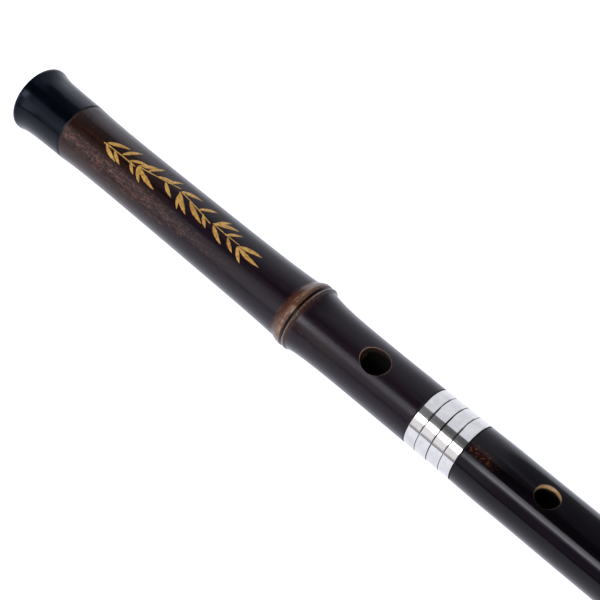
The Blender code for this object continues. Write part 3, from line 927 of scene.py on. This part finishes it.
def add_node_colours(shader, base, place, askew, across, fine, flecks):
    """Orange-brown and tan about both bamboo nodes where the stain is rubbed through, with painted shade
    on the far side of the ridge before the notch and a painted highlight on the ridge after it.
    """
    rings = shader.noise(shader.scaled(place, (2200.0, 130.0, 130.0)), detail=3.0)
    mottle = shader.noise(shader.scaled(place, (1000.0, 480.0, 480.0)), detail=5.0, roughness=0.7)
    spotted = shader.fit(flecks, 0.34, 0.58, 0.3, 0.85)
    worn = shader.times(shader.fit(mottle, 0.38, 0.62, 0.2, 1.0),
                        shader.fit(rings, 0.40, 0.60, 0.55, 1.0))
    painted_shade_side = shader.fit(across, *NODE_PAINTED_SHADE_SIDE, 0.0, 0.75)
    for node_station in (HEAD_NODE_STATION, BODY_NODE_STATION):
        from_notch = shader.math("ADD", askew, -MILLIMETRES * node_station)
        strayed = shader.math("MULTIPLY_ADD", fine, 4.0, shader.math("ADD", from_notch, -2.0))
        ridge = shader.band(from_notch, *NODE_RIDGE)
        layers = (
            (shader.times(shader.band(strayed, *NODE_HALO), spotted), colour(86, 50, 34)),
            (ridge, colour(58, 35, 25)),
            (shader.times(ridge, worn), colour(132, 106, 84)),
            (shader.times(shader.band(from_notch, *NODE_CREST), 0.55), colour(76, 40, 24)),
            # painted shade: the ridge before the notch darker on its far side
            (shader.times(shader.band(from_notch, *NODE_PAINTED_SHADE), painted_shade_side), colour(68, 40, 27)),
            (shader.band(from_notch, *NODE_NOTCH), colour(10, 6, 6)),
            (shader.times(shader.band(from_notch, *NODE_TAIL), spotted), colour(62, 42, 34)),
            # painted highlight: a pale line on the ridge after the notch
            (shader.times(shader.band(from_notch, *NODE_PAINTED_HIGHLIGHT), spotted), colour(108, 82, 64)),
        )
        for factor, tone in layers:
            base = shader.mix(factor, base, tone)
    return base


def make_lacquered_bamboo():
    """Nearly black stained bamboo, rubbed on the player's side near the head cap."""
    shader = Shader("lacquered_bamboo")
    place = shader.place()
    station, across, height, _ = shader.parts(place)
    fine = shader.noise(shader.scaled(place, (60.0, 2600.0, 2600.0)), detail=4.0)
    streaks = shader.noise(shader.scaled(place, (22.0, 620.0, 620.0)), detail=5.0, roughness=0.6)
    patches = shader.noise(shader.scaled(place, (150.0, 820.0, 820.0)), detail=5.0, roughness=0.65)
    flecks = shader.noise(shader.scaled(place, (420.0, 2300.0, 2300.0)), detail=3.0, roughness=0.6)
    dots = shader.noise(shader.scaled(place, (900.0, 1300.0, 1300.0)), detail=2.0)
    grain = shader.weighted(0.45, fine, streaks)
    ragged = shader.weighted(0.6, patches, flecks)
    strayed = shader.math("MULTIPLY_ADD", patches, 5.0, shader.math("ADD", across, -2.5))
    player_side = shader.band(strayed, *RUBBED_SIDE)
    near_cap = shader.band(station, *RUBBED_LENGTH)
    worn = shader.times(near_cap, shader.math("MULTIPLY_ADD", player_side, 0.94, 0.06))

    base = stain_colour(shader, station, grain)
    base = add_rubbed_colours(shader, base, worn, ragged, flecks, dots)
    base = add_joint_colours(shader, base, station, across, dots)
    past_node = shader.times(shader.band(station, *PAST_HEAD_NODE), player_side)
    past_node = shader.times(past_node, shader.fit(flecks, 0.35, 0.65, 0.2, 0.8))
    base = shader.mix(past_node, base, colour(38, 29, 25))
    askew = askew_station(shader, station, across, height)
    base = add_node_colours(shader, base, place, askew, across, fine, flecks)

    relief = shader.math("ADD", fine, shader.times(flecks, 0.6))
    relief = shader.math("MULTIPLY_ADD", shader.times(dots, near_cap), 4.0, relief)
    polish = shader.fit(station, *POLISH_CHANGE, 0.20, 0.06)
    shader.set(Base_Color=base, Roughness=shader.math("MULTIPLY_ADD", grain, 0.10, polish),
               Normal=shader.bump(relief, 0.00002, 0.45), IOR=1.5, Specular_Tint=LACQUER_SHINE,
               Sheen_Weight=0.05, Sheen_Roughness=0.3, Sheen_Tint=LACQUER_HAZE)
    return shader.material


def make_raw_bamboo():
    """Cut bamboo: the walls of the holes, the bore and the end faces."""
    shader = Shader("raw_bamboo")
    place = shader.place()
    station, _, _, radius = shader.parts(place)
    fine = shader.noise(shader.scaled(place, (120.0, 2400.0, 2400.0)), detail=4.0)
    broad = shader.noise(shader.scaled(place, (90.0, 420.0, 420.0)), detail=3.0)
    fibres = shader.fit(fine, 0.35, 0.65)
    base = shader.mix(fibres, colour(150, 114, 80), colour(206, 172, 130))
    base = shader.mix(shader.fit(broad, 0.4, 0.7, 0.0, 0.5), base, colour(86, 52, 32))
    base = shader.mix(shader.fit(radius, *WALL_EDGE), base, colour(32, 20, 15))
    stained = shader.mix(fibres, colour(24, 10, 6), colour(42, 20, 10))
    stained = shader.mix(shader.fit(radius, *BLOWING_HOLE_EDGE), stained, colour(122, 96, 78))
    base = shader.mix(shader.band(station, *BLOWING_HOLE_WALL), base, stained)
    base = shader.mix(shader.fit(radius, *BORE_EDGE, 1.0, 0.0), base, colour(13, 8, 6))
    base = shader.mix(shader.band(station, *JOINT_ENDS), base, colour(20, 12, 11))
    base = shader.mix(shader.either_band(station, *BAMBOO_ENDS), base, colour(116, 100, 86))
    shader.set(Base_Color=base, Roughness=0.62, Normal=shader.bump(fine, 0.00004, 0.6))
    return shader.material


def make_black_cap():
    """Glossy black, with turning marks on the caps' necks and a paler line at their ends."""
    shader = Shader("black_cap")
    place = shader.place()
    station, _, _, _ = shader.parts(place)
    rings = shader.noise(shader.scaled(place, (3800.0, 6.0, 6.0)), detail=2.0)
    broad = shader.noise(place, scale=160.0, detail=4.0)
    waves = shader.math("SINE", shader.times(station, 2 * math.pi / LATHE_PITCH))
    cuts = shader.times(waves, shader.either_band(station, *CAP_NECKS))
    relief = shader.math("MULTIPLY_ADD", cuts, 1.6, rings)
    base = shader.mix(shader.fit(broad, 0.35, 0.7), colour(1, 2, 7), colour(2, 5, 12))
    base = shader.mix(shader.either_band(station, *CAP_NECK_ENDS), base, colour(66, 54, 48))
    roughness = shader.math("MULTIPLY_ADD", cuts, 0.09, shader.fit(broad, 0.3, 0.7, 0.16, 0.22))
    shader.set(Base_Color=base, Roughness=roughness, Normal=shader.bump(relief, 0.00001, 0.5),
               IOR=1.3, Specular_Tint=CAP_SHINE)
    return shader.material


def make_nickel():
    """Polished rings with painted shade in their grooves: dark grey and rough there."""
    shader = Shader("polished_nickel")
    place = shader.place()
    _, _, _, radius = shader.parts(place)
    rings = shader.noise(shader.scaled(place, (9000.0, 8.0, 8.0)), detail=2.0)
    cloud = shader.noise(place, scale=260.0, detail=5.0, roughness=0.6)
    base = shader.mix(shader.fit(cloud, 0.3, 0.7), colour(194, 192, 192), colour(207, 205, 204))
    deep, shallow = [MILLIMETRES * COLLAR_RADIUS - depth for depth in PAINTED_GROOVE_SHADE_DEPTHS]
    # Painted shade: the grooves dark grey and rough, fading out towards the ring's surface
    painted_groove_shade = shader.fit(radius, deep, shallow, 1.0, 0.0)
    base = shader.mix(painted_groove_shade, base, colour(52, 53, 56))
    polish = shader.fit(cloud, 0.3, 0.7, 0.06, 0.11)
    roughness = shader.math("MAXIMUM", polish, shader.times(painted_groove_shade, 0.55))
    shader.set(Base_Color=base, Metallic=1.0, Roughness=roughness,
               Normal=shader.bump(rings, 0.000002, 0.2))
    return shader.material


def make_brass():
    """Turned brass of the joint's two sleeves."""
    shader = Shader("turned_brass")
    place = shader.place()
    rings = shader.noise(shader.scaled(place, (6000.0, 8.0, 8.0)), detail=2.0)
    cloud = shader.noise(place, scale=220.0, detail=5.0, roughness=0.6)
    base = shader.mix(shader.fit(cloud, 0.35, 0.7), colour(186, 152, 90), colour(200, 166, 102))
    shader.set(Base_Color=base, Metallic=1.0, Roughness=shader.fit(cloud, 0.3, 0.7, 0.22, 0.28),
               Normal=shader.bump(rings, 0.000005, 0.5))
    return shader.material


def make_cork():
    """Grainy cork with dark specks."""
    shader = Shader("cork")
    place = shader.place()
    grains = shader.noise(place, scale=900.0, detail=4.0, roughness=0.7)
    specks = shader.noise(place, scale=420.0, detail=2.0)
    base = shader.mix(shader.fit(grains, 0.35, 0.65), colour(128, 90, 56), colour(170, 130, 88))
    base = shader.mix(shader.fit(specks, 0.62, 0.70), base, colour(84, 52, 30))
    shader.set(Base_Color=base, Roughness=0.85, Normal=shader.bump(grains, 0.0001, 0.6))
    return shader.material


def make_gilt():
    """Uneven gold paint, with dark specks where it is thin."""
    shader = Shader("gilt_paint")
    place = shader.place()
    patches = shader.noise(place, scale=700.0, detail=5.0, roughness=0.7)
    specks = shader.noise(place, scale=2600.0, detail=3.0)
    base = shader.mix(shader.fit(patches, 0.35, 0.65), colour(156, 110, 44), colour(200, 160, 82))
    base = shader.mix(shader.fit(specks, 0.62, 0.72), base, colour(98, 64, 28))
    shader.set(Base_Color=base, Metallic=0.2, Roughness=0.45, Normal=shader.bump(patches, 0.00008, 0.7))
    return shader.material


def make_floor():
    """A plain pale floor that glows evenly, just below the caps' rims."""
    shader = Shader("studio_floor")
    tone = shader.noise(shader.place(), scale=3.0, detail=2.0)
    base = shader.mix(tone, colour(130, 132, 138), colour(136, 138, 144))
    shader.set(Base_Color=base, Roughness=0.8, Emission_Color=(*LAVENDER, 1.0),
               Emission_Strength=FLOOR_GLOW)
    builder = bmesh.new()
    bmesh.ops.create_grid(builder, x_segments=FLOOR_SQUARES, y_segments=FLOOR_SQUARES, size=FLOOR_REACH)
    floor = link_mesh("studio_floor", builder)
    floor.location.z = AXIS_HEIGHT - CAP_RIM_RADIUS - FLOOR_CLEARANCE
    floor.data.materials.append(shader.material)


def add_soft_light(name, tint, lean, spread, distance, start, end, radiance):
    """A rectangular light that faces the flute's axis, from one X to another.

    lean is the angle of its middle from overhead towards -Y, or towards +Y where it
    is negative, and spread the angle that it covers, both seen from the axis.
    """
    light = bpy.data.lights.new(name, "AREA")
    light.shape = "RECTANGLE"
    light.size = end - start
    light.size_y = 2 * distance * math.tan(math.radians(spread) / 2)
    light.energy = radiance * math.pi * light.size * light.size_y
    light.color = tint
    holder = bpy.data.objects.new(name, light)
    holder.matrix_world = (Matrix.Translation(((start + end) / 2, 0.0, AXIS_HEIGHT))
                           @ Matrix.Rotation(math.radians(lean), 4, "X")
                           @ Matrix.Translation((0.0, 0.0, distance)))
    bpy.context.scene.collection.objects.link(holder)


def add_studio():
    """The floor, soft lights along both sides of the flute, and even surroundings."""
    make_floor()
    for group, tint, lights in LIGHT_GROUPS:
        for index, light in enumerate(lights):
            add_soft_light("%s_%d" % (group, index), tint, *light)
    world = bpy.data.worlds.new("studio")
    world.use_nodes = True
    background = world.node_tree.nodes["Background"]
    background.inputs["Color"].default_value = (*LAVENDER, 1.0)
    background.inputs["Strength"].default_value = WORLD_RADIANCE
    bpy.context.scene.world = world
    bpy.context.scene.view_settings.view_transform = "Standard"


def add_camera():
    camera = bpy.data.cameras.new("camera")
    camera.lens = CAMERA_LENS
    camera.sensor_width = CAMERA_SENSOR
    camera.clip_start = CAMERA_NEAREST
    holder = bpy.data.objects.new("camera", camera)
    turn = Matrix((CAMERA_RIGHT, CAMERA_UP, CAMERA_BACK)).transposed()
    holder.matrix_world = Matrix.Translation(CAMERA_PLACE) @ turn.to_4x4()
    bpy.context.scene.collection.objects.link(holder)
    bpy.context.scene.camera = holder


def build_flute():
    """All pieces, from the head end to the tail end, and the spray."""
    lacquer = make_lacquered_bamboo()
    raw = make_raw_bamboo()
    cap_black = make_black_cap()
    nickel = make_nickel()
    brass = make_brass()
    build_cap("head_cap_turned", "head_cap", "head_section", 0.0, 1, HEAD_CAP_NECK_RADIUS, cap_black)
    head_surface = build_head_bamboo(lacquer, raw)
    build_stopper(make_cork())
    build_collar("head_ring", "head_collar", "head_section", JOINT_STATION, -1,
                 SOCKET_RADIUS + SOCKET_WALL + GAP, nickel)
    build_sleeve("socket_sleeve", "socket_liner", "head_section", JOINT_STATION - SOCKET_DEPTH,
                 JOINT_STATION, SOCKET_RADIUS, SOCKET_RADIUS + SOCKET_WALL, brass)
    build_sleeve("tenon_sleeve", "tenon_tube", "tenon", JOINT_STATION - TENON_REACH,
                 JOINT_STATION + TENON_ROOT, BORE_RADIUS, TENON_RADIUS, brass)
    build_collar("body_ring", "body_collar", "body_section", JOINT_STATION + GAP, 1,
                 TENON_RADIUS + GAP, nickel)
    build_body_bamboo(lacquer, raw)
    build_cap("tail_cap_turned", "tail_cap", "body_section", OVERALL_LENGTH, -1,
              TAIL_CAP_NECK_RADIUS, cap_black)
    build_spray(head_surface, make_gilt())


add_camera()
add_studio()
build_flute()
